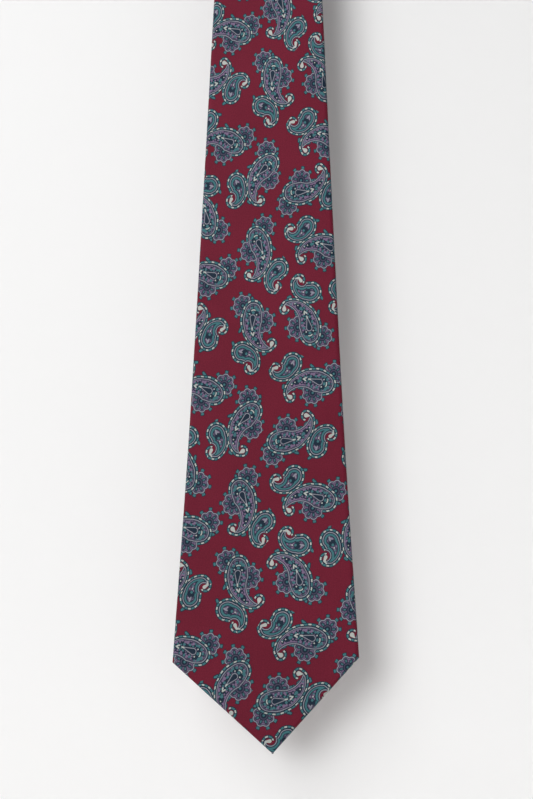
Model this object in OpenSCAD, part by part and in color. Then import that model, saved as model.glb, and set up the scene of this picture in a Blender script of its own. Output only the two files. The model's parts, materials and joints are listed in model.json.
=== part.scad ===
// Necktie hanging folded over a round tie rail.
// Origin: axis of the rail. X across the tie, -Y towards the front, +Z up.
// The printed face looks outwards on both legs; the seam sides face each other.

/* [Front blade] */
// Length of the front blade from its point to the gore seam
front_len = 690; // [640:5:740]
// Full width of the front blade at its corners
front_w = 90; // [70:1:100]
// Height of the corners above the point
front_tip_h = 44; // [38:1:50]
// How far the point sits to the right of the middle line
front_tip_shift = 3.5; // [0:0.5:5]
// Height of the point below the rail
front_drop = 860; // [840:5:880]

/* [Tail blade] */
// Length of the tail blade from its point to the gore seam
tail_len = 480; // [440:5:520]
// Full width of the tail blade at its corners
tail_w = 47; // [40:1:52]
// Height of the tail's corners above its point
tail_tip_h = 23; // [20:1:26]
// Height of the tail's point below the rail
tail_drop = 588; // [570:2:600]

/* [Neck] */
// Full width of the neck gore over the rail
neck_w = 35; // [32:1:40]
// Radius of the rail that the tie hangs on
rail_r = 8; // [7:0.5:12]

/* [Cloth] */
// Thickness of the whole tie
tie_t = 4; // [3.6:0.1:4.4]
// Thickness of one layer of the folded silk
silk_t = 0.8; // [0.6:0.05:0.9]
// Thickness of the tipping cloth
tipping_t = 0.4; // [0.3:0.05:0.5]
// Depth of the fold at the long edges, outside the interlining
edge_d = 2; // [1.5:0.1:2.5]

/* [Keeper loop and labels] */
// Height of the keeper loop's middle above the front blade's point
loop_h = 240; // [220:2:260]
// Length of the keeper loop across the blade
loop_len = 56; // [50:1:60]
// Width of the loop's band
loop_band = 11; // [9:0.5:14]
// Clear depth behind the keeper loop
loop_gap = 6; // [5.2:0.1:6.5]
// Height of the maker's label's middle above the point
label_h = 178; // [170:1:185]
// Width of the maker's label
label_w = 46; // [40:1:50]
// Height of the maker's label
label_tall = 20; // [16:1:24]
// Width of the care label
care_w = 16; // [14:1:20]
// Length of the care label below its stitches
care_len = 30; // [24:1:36]

/* [Hidden] */

slack = 0.05;                     // air between layers that lie on each other
hinge_gap = 0.3;                  // air at each flexing seam
mid_r = rail_r + tie_t / 2;       // middle of the tie's thickness, from the rail's axis
out_r = rail_r + tie_t;
front_z = -front_drop;            // the front point
tail_z = -tail_drop;              // the tail point
front_seam_z = front_z + front_len;
tail_seam_z = tail_z + tail_len;
hinge_r = tie_t / 2;
neck_front_end = front_seam_z + hinge_r + hinge_gap;
neck_tail_end = tail_seam_z + hinge_r + hinge_gap;

front_end_half = neck_w / 2 + 2;  // half width of the neck where the front blade starts
tail_end_half = neck_w / 2 + 0.5; // half width of the neck where the tail starts

// Half widths at heights above the point: corners, lower part, upper part, seam
front_half = [
    [front_tip_h, front_w / 2],
    [160, front_w / 2 - 6.6],
    [384, front_w / 2 - 16.1],
    [540, front_w / 2 - 22],
    [front_len, front_end_half]
];
tail_half = [
    [tail_tip_h, tail_w / 2],
    [220, tail_w / 2 - 2.5],
    [tail_len, tail_end_half]
];

back_y = rail_r - slack;          // depth where things sewn to the back of a leg stand

// Folds and layers at a blade's point
point_inset = 1.42;               // how far the point draws in for each mm of inset
flap_in = 3;                      // width of the flap beside the tipping's window
flap_rise = 4.2;                  // height of the flap below the window's lowest point
vent_half = 0.6;                  // half the opening between the flaps where they part
front_window = 120;               // height of the flaps' meeting point on the front blade
tail_window = 62;
front_tipping_top = 150;
tail_tipping_top = 84;
end_wall = 1;                     // cloth that closes the pocket at the gore seam
cut = 1;                          // how far a cutting shape reaches past the cloth
wool_air = 0.4;                   // air between the interlining and the folds beside it
wool_short = 3;                   // how far the interlining stops below the gore seam
lining_air = 0.3;                 // air between the tipping and the folds beside it

// Threads
thread_w = 0.7;                   // width of a thread
proud = 0.4;                      // height of a thread above the cloth
slip_pitch = 8;                   // spacing of the slip stitches
slip_margin = 12;                 // plain seam beside a tack or a gore seam
slip_share = 0.55;                // part of the spacing that a slip stitch covers
rail_margin = 16;                 // plain seam below the rail
hem_count = 9;                    // hem stitches on each slanted edge
hem_low = 7.5;                    // height where the lowest hem stitch would stand
hem_in = 5;                       // distance of the hem stitches from the folded edge
hem_proud = 0.5;
tack_rise = 8;                    // height of a bar tack above the flaps' meeting point
tack_proud = 0.6;
tack_pitch = 0.9;
gore_in = 4;                      // distance of the gore seam's thread from the blade's end
gore_pitch = 2;
gore_proud = 0.3;

// Keeper loop and labels
foot = 7;                         // length of the loop's sewn end
bow = 7;                          // length over which the loop rises from the blade
band_t = 1;                       // thickness of the loop's band
band_turn = 0.4;                  // shift that keeps the band's thickness through its turns
loop_stitch_in = 3;               // distance of the loop's stitches from its end
label_t = 0.5;                    // thickness of either label's ribbon
label_stitch_in = 1.5;            // distance of the label's stitches from its edge
care_y = -rail_r + 0.8;           // depth of the axis that the care label swings on
care_top = front_z + 112;

silk = [0.40, 0.12, 0.18];
lining = [0.30, 0.08, 0.13];
wool = [0.90, 0.87, 0.78];
thread = [0.45, 0.16, 0.22];
satin = [0.93, 0.92, 0.88];

// Tapered outline with a pointed end at height 0, pulled in by d on all sides
function pull_in(rows, d) = [for (r = rows) [r[0], r[1] - d]];
function right_side(rows) = [for (r = rows) [r[1], r[0]]];
function left_side(rows) = [for (i = [len(rows) - 1:-1:0]) [-rows[i][1], rows[i][0]]];
function half_at(rows, h) = lookup(h, rows);

// A plate standing in the XZ plane between two depths in Y
module plate(y0, y1) {
    translate([0, y1, 0]) rotate([90, 0, 0]) linear_extrude(y1 - y0) children();
}

// Outline of a blade: rows of half widths, point shift, inset d, cut at height top
module blade_outline(rows, shift, d, top) {
    inset = pull_in(rows, d);
    intersection() {
        polygon(concat([[shift, d * point_inset]], right_side(inset), left_side(inset)));
        translate([-front_w, 0]) square([2 * front_w, top]);
    }
}

// Outline of the window in the back of a blade, where the tipping shows
module tipping_window(rows, shift, apex) {
    corner = pull_in(rows, flap_in)[0];
    polygon([
        [shift, flap_rise], [corner[1], corner[0]],
        [vent_half, apex], [-vent_half, apex], [-corner[1], corner[0]]
    ]);
}

// Folded silk of one blade: front layer, two long folds and back flaps round a pocket.
// side is -1 for the front leg and 1 for the tail leg.
module blade_shell(rows, shift, length, side, window_apex) {
    outer = side * out_r;
    inner = side * rail_r;
    y_low = min(outer, inner);
    y_back = inner + side * silk_t;    // pocket's wall on the seam side
    y_face = outer - side * silk_t;    // pocket's wall on the printed side
    end_half = half_at(rows, length);
    color(silk) difference() {
        union() {
            plate(y_low, y_low + tie_t) blade_outline(rows, shift, 0, length);
            translate([-end_half, side * mid_r, length]) rotate([0, 90, 0])
                cylinder(h = 2 * end_half, r = hinge_r, $fn = 48);
        }
        plate(min(y_back, y_face), max(y_back, y_face))
            blade_outline(rows, shift, edge_d, length - end_wall);
        plate(min(inner, y_back) - cut, max(inner, y_back) + cut)
            tipping_window(rows, shift, window_apex);
    }
}

// Wool interlining that fills a blade's pocket, thinner by the tipping at the point
module blade_interlining(rows, shift, length, side) {
    y_face = side * (out_r - silk_t - slack);
    y_back = side * (rail_r + silk_t + tipping_t + 3 * slack);
    color(wool) plate(min(y_face, y_back), max(y_face, y_back))
        blade_outline(rows, shift, edge_d + wool_air, length - wool_short);
}

// Lining cloth behind the point, tucked under the flaps
module blade_tipping(rows, shift, side, top) {
    y0 = side * (rail_r + silk_t + slack);
    y1 = y0 + side * tipping_t;
    color(lining) plate(min(y0, y1), max(y0, y1))
        blade_outline(rows, shift, edge_d + lining_air, top);
}

// One stitch: a short flat bar of thread standing on a face at depth y
module stitch(x, y, z, len_x, len_z, high) {
    translate([x - len_x / 2, high > 0 ? y : y + high, z - len_z / 2])
        cube([len_x, abs(high), len_z]);
}

// Row of slip stitches along the middle of a back seam
module slip_row(y, z0, z1, high) {
    color(thread) for (z = [z0:slip_pitch:z1])
        stitch(0, y, z, thread_w, slip_pitch * slip_share, high);
}

// Hem stitches along the two slanted edges of a tipping window
module hem_stitches(rows, shift, side) {
    y = side * (rail_r + silk_t - slack);
    corner = pull_in(rows, hem_in)[0];
    color(thread) for (s = [-1, 1]) for (k = [1:hem_count]) {
        share = k / (hem_count + 1);
        x = shift + (s * corner[1] - shift) * share;
        z = hem_low + (corner[0] - hem_low) * share;
        stitch(x, y, z, 1.6, 1.2, -side * hem_proud);
    }
}

module at_front() { translate([0, 0, front_z]) children(); }
module at_tail() { translate([0, 0, tail_z]) children(); }

module front_blade_shell() {
    at_front() blade_shell(front_half, front_tip_shift, front_len, -1, front_window);
}
module front_interlining() {
    at_front() blade_interlining(front_half, front_tip_shift, front_len, -1);
}
module front_tipping() {
    at_front() blade_tipping(front_half, front_tip_shift, -1, front_tipping_top);
}
module front_tipping_hem_stitches() {
    at_front() hem_stitches(front_half, front_tip_shift, -1);
}
module front_slip_stitch() {
    label_low = label_h - label_tall / 2;
    label_high = label_h + label_tall / 2;
    loop_low = loop_h - loop_band / 2;
    loop_high = loop_h + loop_band / 2;
    at_front() {
        slip_row(-back_y, front_window + tack_rise + slip_margin, label_low - 4, proud);
        slip_row(-back_y, label_high + 6, loop_low - slip_pitch, proud);
        slip_row(-back_y, loop_high + slip_pitch, front_len - slip_margin, proud);
    }
}

// Dense bar of thread across the back seam where the flaps part
module bar_tack(y, z, width, high) {
    color(thread) for (k = [-2:2]) stitch(0, y, z + k * tack_pitch, width, thread_w, high);
}
module front_bar_tack() {
    at_front() bar_tack(-back_y, front_window + tack_rise, 7, tack_proud);
}
module tail_bar_tack() {
    at_tail() bar_tack(back_y, tail_window + tack_rise, 5, -tack_proud);
}

// Band of silk that stands off the back of the blade, sewn down at both ends
module keeper_loop() {
    half = loop_len / 2;
    rise = half - foot;
    flat = rise - bow;
    y = -back_y;
    color(silk) translate([0, 0, front_z + loop_h - loop_band / 2])
        linear_extrude(loop_band) polygon([
            [-half, y], [-rise, y], [-flat, y + loop_gap], [flat, y + loop_gap],
            [rise, y], [half, y], [half, y + band_t], [rise + band_turn, y + band_t],
            [flat + band_turn, y + loop_gap + band_t], [-flat - band_turn, y + loop_gap + band_t],
            [-rise - band_turn, y + band_t], [-half, y + band_t]
        ]);
}
module keeper_loop_stitches() {
    y = -back_y + band_t + slack;
    color(thread) for (s = [-1, 1]) for (k = [-2:2])
        stitch(s * (loop_len / 2 - loop_stitch_in), y, front_z + loop_h + k * 2, thread_w, 1.3, proud);
}

// Blank woven label sewn across the back seam
module makers_label() {
    color(satin) translate([-label_w / 2, -back_y, front_z + label_h - label_tall / 2])
        cube([label_w, label_t, label_tall]);
}
module makers_label_stitches() {
    y = -back_y + label_t + slack;
    color(thread) for (s = [-1, 1]) for (k = [-3:3])
        stitch(s * (label_w / 2 - label_stitch_in), y, front_z + label_h + k * 2.6, 0.6, 1.6, 0.3);
}

// Blank fibre label that hangs from its top edge over the tipping
module care_label() {
    color(satin) union() {
        translate([-care_w / 2, care_y - label_t / 2, care_top - care_len])
            cube([care_w, label_t, care_len]);
        translate([-care_w / 2, care_y, care_top]) rotate([0, 90, 0])
            cylinder(h = care_w, r = label_t / 2, $fn = 24);
    }
}
module care_label_stitches() {
    color(thread) for (k = [-3:3])
        stitch(k * 2.2, -back_y, care_top + 1.2, 1.4, thread_w, 0.6);
}

// Seam threads drawn through the end of a blade beside its gore seam
module gore_seam(rows, length, y, high) {
    count = floor((half_at(rows, length) - flap_in) / gore_pitch);
    color(thread) for (k = [-count:count])
        stitch(k * gore_pitch, y, length - gore_in, 1.2, thread_w, high);
}
module front_gore_seam() {
    at_front() gore_seam(front_half, front_len, -back_y, gore_proud);
}
module tail_gore_seam() {
    at_tail() gore_seam(tail_half, tail_len, back_y, -gore_proud);
}

// Tapered outline of one neck leg, from its end up to the rail's height
module neck_leg_outline(end_z, end_half, d) {
    polygon([
        [-end_half + d, end_z + d], [end_half - d, end_z + d],
        [neck_w / 2 - d, 0], [-neck_w / 2 + d, 0]
    ]);
}
// Half ring over the rail between two radii
module neck_arch(r0, r1, d) {
    rotate([0, 90, 0]) rotate([0, 0, 90]) rotate_extrude(angle = 180, $fn = 96)
        translate([r0, -neck_w / 2 + d]) square([r1 - r0, neck_w - 2 * d]);
}
module neck_solid(r0, r1, d) {
    plate(-r1, -r0) neck_leg_outline(neck_front_end, front_end_half, d);
    plate(r0, r1) neck_leg_outline(neck_tail_end, tail_end_half, d);
    neck_arch(r0, r1, d);
}
module neck_gore_shell() {
    color(silk) difference() {
        neck_solid(rail_r, out_r, 0);
        neck_solid(rail_r + silk_t, out_r - silk_t, edge_d);
    }
}
module neck_interlining() {
    color(wool) neck_solid(rail_r + silk_t + slack, out_r - silk_t - slack, edge_d + wool_air);
}
module neck_slip_stitch() {
    slip_row(-back_y, neck_front_end + slip_pitch, -rail_margin, proud);
    slip_row(back_y, neck_tail_end + slip_pitch, -rail_margin, -proud);
}

module tail_blade_shell() {
    at_tail() blade_shell(tail_half, 0, tail_len, 1, tail_window);
}
module tail_interlining() {
    at_tail() blade_interlining(tail_half, 0, tail_len, 1);
}
module tail_tipping() {
    at_tail() blade_tipping(tail_half, 0, 1, tail_tipping_top);
}
module tail_tipping_hem_stitches() {
    at_tail() hem_stitches(tail_half, 0, 1);
}
module tail_slip_stitch() {
    at_tail() slip_row(
        back_y, tail_window + tack_rise + slip_margin, tail_len - slip_margin, -proud
    );
}

front_blade_shell();
front_interlining();
front_tipping();
front_tipping_hem_stitches();
front_slip_stitch();
front_bar_tack();
keeper_loop();
keeper_loop_stitches();
makers_label();
makers_label_stitches();
care_label_stitches();
front_gore_seam();
care_label();
neck_gore_shell();
neck_interlining();
neck_slip_stitch();
tail_blade_shell();
tail_interlining();
tail_tipping();
tail_tipping_hem_stitches();
tail_slip_stitch();
tail_bar_tack();
tail_gore_seam();
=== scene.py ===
"""A printed silk necktie, hanging folded over a rail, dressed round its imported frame.

Lengths are millimetres inside the builders and metres in the meshes. Along the tie, a place
is given by t, the distance from the front blade's point over the rail to the tail's point;
across it by x; and through it by n, the height above the tie's middle layer, positive on the
printed side.
"""
import json
import logging
import math
from dataclasses import dataclass
from enum import Enum
from typing import Callable, Optional, Sequence

import bmesh
import bpy
from mathutils import Matrix, Vector


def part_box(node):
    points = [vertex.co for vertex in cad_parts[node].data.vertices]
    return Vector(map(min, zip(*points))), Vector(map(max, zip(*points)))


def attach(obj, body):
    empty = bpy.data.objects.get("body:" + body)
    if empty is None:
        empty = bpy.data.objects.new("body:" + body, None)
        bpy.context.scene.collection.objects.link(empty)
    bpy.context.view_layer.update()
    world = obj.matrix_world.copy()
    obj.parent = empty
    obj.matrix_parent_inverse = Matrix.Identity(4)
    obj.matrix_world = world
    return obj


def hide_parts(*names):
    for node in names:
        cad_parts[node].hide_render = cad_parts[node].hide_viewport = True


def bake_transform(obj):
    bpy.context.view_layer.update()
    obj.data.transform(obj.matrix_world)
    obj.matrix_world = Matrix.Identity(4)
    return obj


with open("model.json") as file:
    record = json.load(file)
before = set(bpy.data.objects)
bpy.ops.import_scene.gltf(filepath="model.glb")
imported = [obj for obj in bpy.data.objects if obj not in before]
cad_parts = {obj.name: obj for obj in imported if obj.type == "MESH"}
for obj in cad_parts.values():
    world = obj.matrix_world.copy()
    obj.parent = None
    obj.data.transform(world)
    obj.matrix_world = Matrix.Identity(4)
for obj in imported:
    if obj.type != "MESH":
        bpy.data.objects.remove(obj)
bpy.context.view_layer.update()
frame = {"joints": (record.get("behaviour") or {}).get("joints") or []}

logging.basicConfig(level=logging.INFO, format="%(message)s")
log = logging.getLogger("necktie")

MM = 0.001
Pair = tuple[float, float]


# ---------------------------------------------------------------- helpers


def smooth(value: float, low: float, high: float) -> float:
    """Returns 0 below low, 1 above high, and a smooth step between them."""
    f = min(1.0, max(0.0, (value - low) / (high - low)))
    return f * f * (3 - 2 * f)


def eased(rows: Sequence[Pair], at: float) -> float:
    """Reads a smooth curve through rows of (place, value).

    Args:
        rows: places in rising order, each with its value.
        at: the place asked for.

    Returns:
        The value there, from a cubic through the neighbouring rows.
    """
    if at <= rows[0][0]:
        return rows[0][1]
    if at >= rows[-1][0]:
        return rows[-1][1]
    k = max(i for i in range(len(rows) - 1) if rows[i][0] <= at)
    (x0, y0), (x1, y1) = rows[k], rows[k + 1]

    def slope(i: int) -> float:
        """Returns the curve's slope at row i."""
        a, b = max(0, i - 1), min(len(rows) - 1, i + 1)
        return (rows[b][1] - rows[a][1]) / (rows[b][0] - rows[a][0])

    f, span = (at - x0) / (x1 - x0), x1 - x0
    return (
        (2 * f**3 - 3 * f**2 + 1) * y0
        + (f**3 - 2 * f**2 + f) * span * slope(k)
        + (3 * f**2 - 2 * f**3) * y1
        + (f**3 - f**2) * span * slope(k + 1)
    )


def srgb(code: str, alpha: float = 1.0) -> tuple[float, float, float, float]:
    """Turns an sRGB hex colour into linear red, green, blue and alpha."""
    parts = [int(code[i : i + 2], 16) / 255 for i in (1, 3, 5)]
    red, green, blue = [
        c / 12.92 if c <= 0.04045 else ((c + 0.055) / 1.055) ** 2.4 for c in parts
    ]
    return red, green, blue, alpha


def add(
    tree: bpy.types.NodeTree, kind: str, inputs: Optional[dict] = None, out: int = 0, **settings
) -> bpy.types.NodeSocket:
    """Adds one shader node with its settings and links.

    Args:
        tree: the material's node tree.
        kind: the node's type, without its ShaderNode prefix.
        inputs: input sockets by name or number, each with a socket to link or a value.
        out: the number of the output socket to return.
        settings: the node's own properties.

    Returns:
        The output socket.
    """
    made = tree.nodes.new("ShaderNode" + kind)
    for name, value in settings.items():
        setattr(made, name, value)
    for key, value in (inputs or {}).items():
        if isinstance(value, bpy.types.NodeSocket):
            tree.links.new(value, made.inputs[key])
        else:
            made.inputs[key].default_value = value
    return made.outputs[out]


# ---------------------------------------------------------------- print


class Ink(Enum):
    """The screens of the print, from the ground up, each with its colour."""

    BURGUNDY = "#671B2D"
    NAVY = "#1D2B3A"
    TEAL = "#3E6C72"
    DUSK = "#443F53"
    MAUVE = "#75627E"
    LILAC = "#868792"
    CREAM = "#ADB2AE"

    @property
    def level(self) -> float:
        """The ink's place on the ramp that turns levels into colours."""
        return (list(Ink).index(self) + 0.5) / len(Ink)


@dataclass(frozen=True)
class Repeat:
    """The print's repeat: a rectangle that lies on the bias, with seven turned motifs, in mm."""

    width: float = 74.3
    height: float = 87.7
    turn: float = 42.0        # degrees between the repeat and the tie's length
    # each motif's place, its turn in degrees and whether it is mirrored
    motifs: tuple = (
        ((0.0, 0.0), 0.0, False),
        ((-7.0, 43.5), 46.0, False),
        ((2.0, -35.0), 155.0, True),
        ((24.0, -10.0), 165.0, False),
        ((25.0, 21.5), 106.0, False),
        ((23.5, 46.5), -96.0, False),
        ((29.5, -41.5), 112.0, False),
    )
    # a motif's two halves, each as an oval: its middle and its half widths
    halves: tuple = (((-1.0, -10.3), (11.6, 10.0)), ((-0.2, 8.9), (12.1, 9.0)))


@dataclass(frozen=True)
class Drop:
    """A drop of ink: a round end at a, a round end at b and straight sides between them."""

    a: Pair
    b: Pair
    radius_a: float
    radius_b: float


@dataclass(frozen=True)
class Ring:
    """Part of a dashed ring, round a curl: the part that lies to one side of a line."""

    centre: Pair
    radius: float
    dashes: int               # in a full turn
    shift: float              # in dashes
    side: Pair                # the direction in which the shown part lies
    reach: float              # least distance in that direction from the centre


@dataclass(frozen=True)
class Paisley:
    """One paisley: its dashed border round a heart point, and the hollow inside its curl."""

    heart: Pair
    border: tuple[Pair, ...]  # (degrees, mm from the heart), clockwise from the left
    first: float              # degrees where the count of the dashes starts
    gap: float                # degrees where the two ends of the border meet, under the curl
    dash: float               # mm from one dash to the next
    hollow: Pair
    hollow_r: float
    curl: Ring
    comma: tuple[Drop, ...]

    def travelled(self, start: float, end: float) -> float:
        """Returns the length of the border between two angles, in mm."""
        count = max(1, round(abs(end - start) / 2))
        places = []
        for i in range(count + 1):
            degrees = start + (end - start) * i / count
            reach, turn = eased(self.border, degrees), math.radians(degrees)
            places.append((reach * math.cos(turn), reach * math.sin(turn)))
        return sum(math.dist(a, b) for a, b in zip(places, places[1:]))

    def number(self, degrees: float) -> float:
        """Returns the number of the dash at an angle, counted both ways from the first."""
        if degrees <= self.first:
            length = self.travelled(degrees, self.first)
        elif degrees < self.gap:
            length = -self.travelled(self.first, degrees)
        else:
            length = self.travelled(-180, self.first) + self.travelled(degrees, 180)
        return length / self.dash

    def dashes(self) -> list[Pair]:
        """Returns (degrees, number of the dash) round the whole border."""
        steps = {-180, 180, self.first, self.gap - 1, self.gap + 1, *range(-168, 180, 12)}
        return [(degrees, self.number(degrees)) for degrees in sorted(steps)]


BIG = Paisley(
    heart=(-1.6, -6.8),
    border=(
        (-180, 5.5), (-149, 5.9), (-132, 6.7), (-118, 7.6), (-104, 8.5), (-86, 9.0),
        (-69, 8.7), (-57, 8.0), (-42, 7.1), (-25, 6.4), (-5, 6.0), (8, 6.3), (18, 8.3),
        (28, 14.3), (36, 16.4), (44, 17.0), (52, 17.2), (62, 16.4), (73, 14.6), (85, 12.2),
        (100, 9.7), (117, 7.9), (142, 6.1), (158, 5.7), (180, 5.5),
    ),
    first=-42,
    gap=30,
    dash=1.85,
    hollow=(11.6, -2.3),
    hollow_r=9.15,
    curl=Ring((8.7, 4.15), 2.15, 8, 0.333, (0.737, -0.676), -1.0),
    comma=(Drop((8.8, 4.0), (8.3, 5.8), 1.0, 0.2),),
)
SMALL = Paisley(
    heart=(-4.7, 7.8),
    border=(
        (-180, 6.2), (-156, 6.0), (-142, 5.6), (-110, 4.8), (-89, 4.4), (-60, 4.2),
        (-29, 4.8), (-5, 6.0), (23, 8.2), (41, 9.9), (52, 10.6), (66, 10.7), (74, 10.1),
        (80, 7.8), (86, 5.5), (92, 4.9), (111, 4.9), (127, 5.4), (145, 5.8), (160, 6.0),
        (180, 6.2),
    ),
    first=-89,
    gap=83,
    dash=1.6,
    hollow=(-2.9, 14.4),
    hollow_r=2.6,
    curl=Ring((-1.8, 15.25), 2.3, 8, -0.144, (-0.956, 0.292), 0.7),
    comma=(
        Drop((-2.35, 14.65), (-1.7, 16.05), 0.8, 0.5),
        Drop((-1.65, 16.15), (0.1, 16.5), 0.5, 0.2),
    ),
)
BUDS_BELOW = (
    Drop((-1.9, -15.9), (-2.0, -17.15), 0.85, 0.5),
    Drop((-7.05, -2.7), (-7.75, -1.5), 0.7, 0.5),
    Drop((-10.25, 4.6), (-10.85, 3.45), 0.7, 0.55),
    Drop((4.7, 8.8), (5.7, 8.7), 0.7, 0.55),
    Drop((3.1, 1.05), (3.65, 1.15), 0.55, 0.5),
    Drop((4.65, 3.3), (5.3, 4.05), 0.6, 0.5),
)
EYE = Drop((-1.35, -7.9), (-1.45, -2.9), 1.35, 0.1)
SPECKS: tuple[tuple[Ink, tuple[tuple[Pair, float], ...]], ...] = (
    (Ink.TEAL, (
        ((-4.2, -8.65), 0.55), ((1.2, -7.3), 0.6), ((-0.15, -3.35), 0.5), ((-3.45, -5.65), 0.5),
        ((-2.8, -2.9), 0.6), ((1.7, -4.6), 0.45), ((0.6, 2.05), 0.75), ((-0.95, 1.55), 0.4),
        ((-1.15, -10.3), 0.7), ((0.85, -11.65), 0.75), ((-3.3, -11.25), 0.55),
    )),
    (Ink.MAUVE, (
        ((-4.45, -6.85), 0.6), ((-4.1, -4.15), 0.7), ((-3.9, -2.9), 0.5), ((1.5, -5.95), 0.6),
        ((1.35, -3.15), 0.55), ((-2.05, 1.1), 0.5), ((-3.1, -0.6), 0.4), ((4.1, 5.55), 0.45),
        ((-0.4, 3.45), 0.45),
    )),
    (Ink.CREAM, (((0.55, -9.3), 0.35), ((-3.0, -9.7), 0.3), ((1.75, 3.85), 0.3),
                 ((3.05, 5.1), 0.3), ((-2.35, 9.1), 0.35))),
)


class PaisleyPrint:
    """Draws the print's inks in a node tree, one level over the other like its screens."""

    def __init__(self, tree: bpy.types.NodeTree, cloth: bpy.types.NodeSocket) -> None:
        """Starts with the bare ground.

        Args:
            tree: the material's node tree.
            cloth: places on the flat printed cloth, in mm, y down the blade.
        """
        self.tree = tree
        self.repeat = Repeat()
        self.ink: bpy.types.NodeSocket = add(tree, "Value")
        self.ink.default_value = Ink.BURGUNDY.level
        self.here = self.nearest_motif(cloth)
        self.across, self.down, _ = add(tree, "SeparateXYZ", {0: self.here}).node.outputs

    def step(self, kind: str, operation: str, *values, out: int = 0) -> bpy.types.NodeSocket:
        """Returns one step of the drawing's arithmetic.

        Args:
            kind: the node's type, for numbers or for vectors.
            operation: what it does with the values.
            values: sockets, numbers or vectors.
            out: the number of the output socket.
        """
        return add(self.tree, kind, dict(enumerate(values)), out, operation=operation)

    def nearest_motif(self, cloth: bpy.types.NodeSocket) -> bpy.types.NodeSocket:
        """Returns the place inside the motif that a point of the cloth belongs to, in mm."""
        rep = self.repeat
        grain = add(
            self.tree, "Mapping", {0: cloth, "Rotation": (0, 0, -math.radians(rep.turn))},
            vector_type="POINT",
        )
        half = Vector((rep.width / 2, rep.height / 2, 1))
        turn = Matrix.Rotation(-math.radians(rep.turn), 3, "Z")
        best, best_far = None, None
        for place, angle, mirrored in rep.motifs:
            centre = turn @ Vector((*place, 0))
            near = self.step("VectorMath", "WRAP", grain, centre + half, centre - half)
            flip = Matrix.Diagonal((1, -1 if mirrored else 1, 1))
            back = math.radians(rep.turn - angle) * (-1 if mirrored else 1)
            spin = Matrix.Rotation(back, 3, "Z") @ flip
            local = add(
                self.tree, "Mapping",
                {0: near, "Rotation": (0, 0, back), "Scale": (1, -1 if mirrored else 1, 1),
                 "Location": -(spin @ centre)},
                vector_type="POINT",
            )
            upper, lower = [self.oval(local, middle, size) for middle, size in rep.halves]
            far = self.step("Math", "MINIMUM", upper, lower)
            if best is None:
                best, best_far = local, far
                continue
            closer = self.step("Math", "LESS_THAN", far, best_far)
            best = add(
                self.tree, "Mix", {0: closer, 4: best, 5: local}, 1,
                data_type="VECTOR", factor_mode="UNIFORM",
            )
            best_far = self.step("Math", "MINIMUM", far, best_far)
        return best

    def oval(self, place: bpy.types.NodeSocket, middle: Pair, size: Pair
             ) -> bpy.types.NodeSocket:
        """Returns how far a place is from an oval's middle, 1 on its rim."""
        (x, y), (wide, tall) = middle, size
        scaled = self.step("VectorMath", "MULTIPLY_ADD", place, (1 / wide, 1 / tall, 0),
                           (-x / wide, -y / tall, 0))
        return self.step("VectorMath", "LENGTH", scaled, out=1)

    def lay(self, ink: Ink, *masks: bpy.types.NodeSocket) -> None:
        """Prints one ink wherever all the masks are 1."""
        mask = masks[0]
        for other in masks[1:]:
            mask = self.step("Math", "MULTIPLY", mask, other)
        self.ink = add(
            self.tree, "Mix", {0: mask, 2: self.ink, 3: ink.level}, data_type="FLOAT"
        )

    def below(self, value: bpy.types.NodeSocket, limit: float) -> bpy.types.NodeSocket:
        """Returns a mask of where a value is less than a limit."""
        return self.step("Math", "LESS_THAN", value, limit)

    def above(self, value: bpy.types.NodeSocket, limit: float) -> bpy.types.NodeSocket:
        """Returns a mask of where a value is more than a limit."""
        return self.step("Math", "GREATER_THAN", value, limit)

    def near(self, value: bpy.types.NodeSocket, middle: float, reach: float
             ) -> bpy.types.NodeSocket:
        """Returns a mask of where a value lies within a reach of a middle."""
        return self.step("Math", "COMPARE", value, middle, reach)

    def far(self, centre: Pair) -> bpy.types.NodeSocket:
        """Returns the distance from a centre in the motif."""
        return self.step("VectorMath", "DISTANCE", self.here, (*centre, 0), out=1)

    def around(self, centre: Pair) -> tuple[bpy.types.NodeSocket, bpy.types.NodeSocket]:
        """Returns the angle round a centre, as 0 to 1 clockwise from the left, and the radius."""
        offset = self.step("VectorMath", "SUBTRACT", self.here, (*centre, 0))
        parts = add(self.tree, "SeparateXYZ", {0: offset}).node.outputs
        angle = self.step("Math", "ARCTAN2", parts[1], parts[0])
        share = self.step("Math", "MULTIPLY_ADD", angle, 1 / (2 * math.pi), 0.5)
        return share, self.step("VectorMath", "LENGTH", offset, out=1)

    def drop(self, shape: Drop) -> bpy.types.NodeSocket:
        """Returns the signed distance from a drop's outline, negative inside."""
        axis = Vector(shape.b) - Vector(shape.a)
        length = axis.length
        axis = axis / length
        slope = (shape.radius_a - shape.radius_b) / length
        rise = math.sqrt(1 - slope * slope)
        offset = self.step("VectorMath", "SUBTRACT", self.here, (*shape.a, 0))
        along = self.step("VectorMath", "DOT_PRODUCT", offset, (axis.x, axis.y, 0), out=1)
        aside = self.step("VectorMath", "DOT_PRODUCT", offset, (-axis.y, axis.x, 0), out=1)
        side = self.step("Math", "ABSOLUTE", aside)
        lean = self.step("Math", "MULTIPLY_ADD", side, -slope / (rise * length),
                         self.step("Math", "MULTIPLY", along, 1 / length))
        share = add(self.tree, "Clamp", {0: lean})
        past = self.step("Math", "MULTIPLY_ADD", share, -length, along)
        corner = add(self.tree, "CombineXYZ", {0: past, 1: side})
        reach = self.step("VectorMath", "LENGTH", corner, out=1)
        radius = self.step("Math", 
            "MULTIPLY_ADD", share, shape.radius_b - shape.radius_a, shape.radius_a
        )
        return self.step("Math", "SUBTRACT", reach, radius)

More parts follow.
